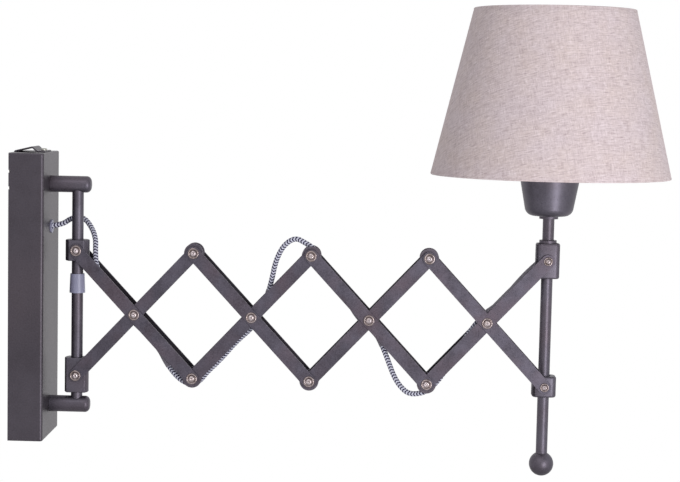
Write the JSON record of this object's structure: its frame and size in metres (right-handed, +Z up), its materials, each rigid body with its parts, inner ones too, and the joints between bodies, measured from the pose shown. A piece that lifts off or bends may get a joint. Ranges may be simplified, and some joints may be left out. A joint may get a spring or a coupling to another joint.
{
  "type": "accordion wall lamp",
  "caption": "Wall lamp on a scissor arm of flat bars that turns on a vertical rod, with sliding collars, a cup lampholder and a tapered fabric shade.",
  "frame": {"origin": "centre of the wall bracket's back face, on the wall", "axes": "+X away from the wall along the arm, +Z up, pivot screw heads towards -Y"},
  "size_m": [0.679, 0.248, 0.4867],
  "materials": {
    "aged_metal": "satin",
    "zinc_steel": "satin",
    "wire_steel": "satin",
    "pivot_brass": "satin",
    "contact_brass": "satin",
    "ceramic": "matt",
    "clear_plastic": "satin",
    "black_plastic": "satin",
    "linen": "woven",
    "braid": "braided"
  },
  "bodies": {
    "wall_unit": {"wall_bracket": "zinc_steel", "wall_cover": "aged_metal", "cover_screws": "zinc_steel", "terminal_block": "ceramic", "cable_bush": "clear_plastic", "upper_peg": "aged_metal", "lower_peg": "aged_metal", "peg_nuts": "zinc_steel", "cable_wall_loop": "braid"},
    "swing_rod": {"pivot_rod": "aged_metal", "lower_left_collar": "aged_metal", "lower_left_pivot_screws": "pivot_brass", "stop_sleeve": "clear_plastic"},
    "rising_1": {"rising_link_1_front": "aged_metal", "rising_link_1_rear": "aged_metal"},
    "rising_2": {"rising_link_2_front": "aged_metal", "rising_link_2_rear": "aged_metal", "cable_span_2": "braid"},
    "rising_3": {"rising_link_3_front": "aged_metal", "rising_link_3_rear": "aged_metal"},
    "rising_4": {"rising_link_4_front": "aged_metal", "rising_link_4_rear": "aged_metal", "cable_to_post": "braid"},
    "falling_1": {"falling_link_1_front": "aged_metal", "falling_link_1_rear": "aged_metal", "falling_link_1_pivots": "pivot_brass", "falling_link_1_spools": "aged_metal", "cable_entry": "braid", "cable_span_1": "braid"},
    "falling_2": {"falling_link_2_front": "aged_metal", "falling_link_2_rear": "aged_metal", "falling_link_2_pivots": "pivot_brass", "falling_link_2_spools": "aged_metal"},
    "falling_3": {"falling_link_3_front": "aged_metal", "falling_link_3_rear": "aged_metal", "falling_link_3_pivots": "pivot_brass", "falling_link_3_spools": "aged_metal", "cable_span_3": "braid"},
    "falling_4": {"falling_link_4_front": "aged_metal", "falling_link_4_rear": "aged_metal", "falling_link_4_pivots": "pivot_brass", "falling_link_4_spools": "aged_metal"},
    "upper_left_slider": {"upper_left_collar": "aged_metal", "upper_left_pivot_screws": "pivot_brass"},
    "lower_right_slider": {"lower_right_collar": "aged_metal", "lower_right_pivot_screws": "pivot_brass"},
    "post": {"post_tube": "aged_metal", "upper_right_collar": "aged_metal", "upper_right_pivot_screws": "pivot_brass", "post_lock_rings": "aged_metal", "ball_finial": "aged_metal", "holder_cup": "aged_metal", "lampholder_body": "black_plastic", "lampholder_contacts": "contact_brass", "shade_clamp_ring": "black_plastic", "shade_frame": "wire_steel", "shade_top_ring": "wire_steel", "shade_cover": "linen", "cable_in_post": "braid"}
  },
  "joints": [
    {"name": "arm_swing", "type": "hinge", "parent": "wall_unit", "child": "swing_rod", "pos_m": [0.064, 0, 0], "axis": [0, 0, 1], "range_deg": [-80, 80], "deforming": ["cable_wall_loop"]},
    {"name": "arm_fold", "type": "hinge", "parent": "swing_rod", "child": "rising_1", "pos_m": [0.064, 0, -0.0845], "axis": [0, -1, 0], "range_deg": [-6, 34]},
    {"name": "middle_pivot_1", "type": "hinge", "parent": "rising_1", "child": "falling_1", "pos_m": [0.12538, 0, -0.01868], "axis": [0, -1, 0], "range_deg": [-68, 12]},
    {"name": "upper_left_pivot", "type": "hinge", "parent": "falling_1", "child": "upper_left_slider", "pos_m": [0.064, 0, 0.04714], "axis": [0, -1, 0], "range_deg": [-6, 34], "deforming": ["cable_entry"]},
    {"name": "lower_pivot_1", "type": "hinge", "parent": "falling_1", "child": "rising_2", "pos_m": [0.18676, 0, -0.0845], "axis": [0, -1, 0], "range_deg": [-12, 68], "deforming": ["cable_span_1"]},
    {"name": "middle_pivot_2", "type": "hinge", "parent": "rising_2", "child": "falling_2", "pos_m": [0.24814, 0, -0.01868], "axis": [0, -1, 0], "range_deg": [-68, 12]},
    {"name": "upper_pivot_2", "type": "hinge", "parent": "rising_2", "child": "falling_3", "pos_m": [0.30952, 0, 0.04714], "axis": [0, -1, 0], "range_deg": [-68, 12], "deforming": ["cable_span_2"]},
    {"name": "middle_pivot_3", "type": "hinge", "parent": "falling_3", "child": "rising_3", "pos_m": [0.3709, 0, -0.01868], "axis": [0, -1, 0], "range_deg": [-12, 68]},
    {"name": "lower_pivot_3", "type": "hinge", "parent": "falling_3", "child": "rising_4", "pos_m": [0.43228, 0, -0.0845], "axis": [0, -1, 0], "range_deg": [-12, 68], "deforming": ["cable_span_3"]},
    {"name": "middle_pivot_4", "type": "hinge", "parent": "rising_4", "child": "falling_4", "pos_m": [0.49366, 0, -0.01868], "axis": [0, -1, 0], "range_deg": [-68, 12]},
    {"name": "upper_right_pivot", "type": "hinge", "parent": "rising_4", "child": "post", "pos_m": [0.55504, 0, 0.04714], "axis": [0, -1, 0], "range_deg": [-34, 6], "deforming": ["cable_to_post"]},
    {"name": "lower_right_pivot", "type": "hinge", "parent": "falling_4", "child": "lower_right_slider", "pos_m": [0.55504, 0, -0.0845], "axis": [0, -1, 0], "range_deg": [-6, 34]}
  ],
  "couplings": [
    {"joint": "middle_pivot_1", "follows": "arm_fold", "ratio": -2},
    {"joint": "upper_left_pivot", "follows": "arm_fold", "ratio": 1},
    {"joint": "lower_pivot_1", "follows": "arm_fold", "ratio": 2},
    {"joint": "middle_pivot_2", "follows": "arm_fold", "ratio": -2},
    {"joint": "upper_pivot_2", "follows": "arm_fold", "ratio": -2},
    {"joint": "middle_pivot_3", "follows": "arm_fold", "ratio": 2},
    {"joint": "lower_pivot_3", "follows": "arm_fold", "ratio": 2},
    {"joint": "middle_pivot_4", "follows": "arm_fold", "ratio": -2},
    {"joint": "upper_right_pivot", "follows": "arm_fold", "ratio": -1},
    {"joint": "lower_right_pivot", "follows": "arm_fold", "ratio": 1}
  ]
}
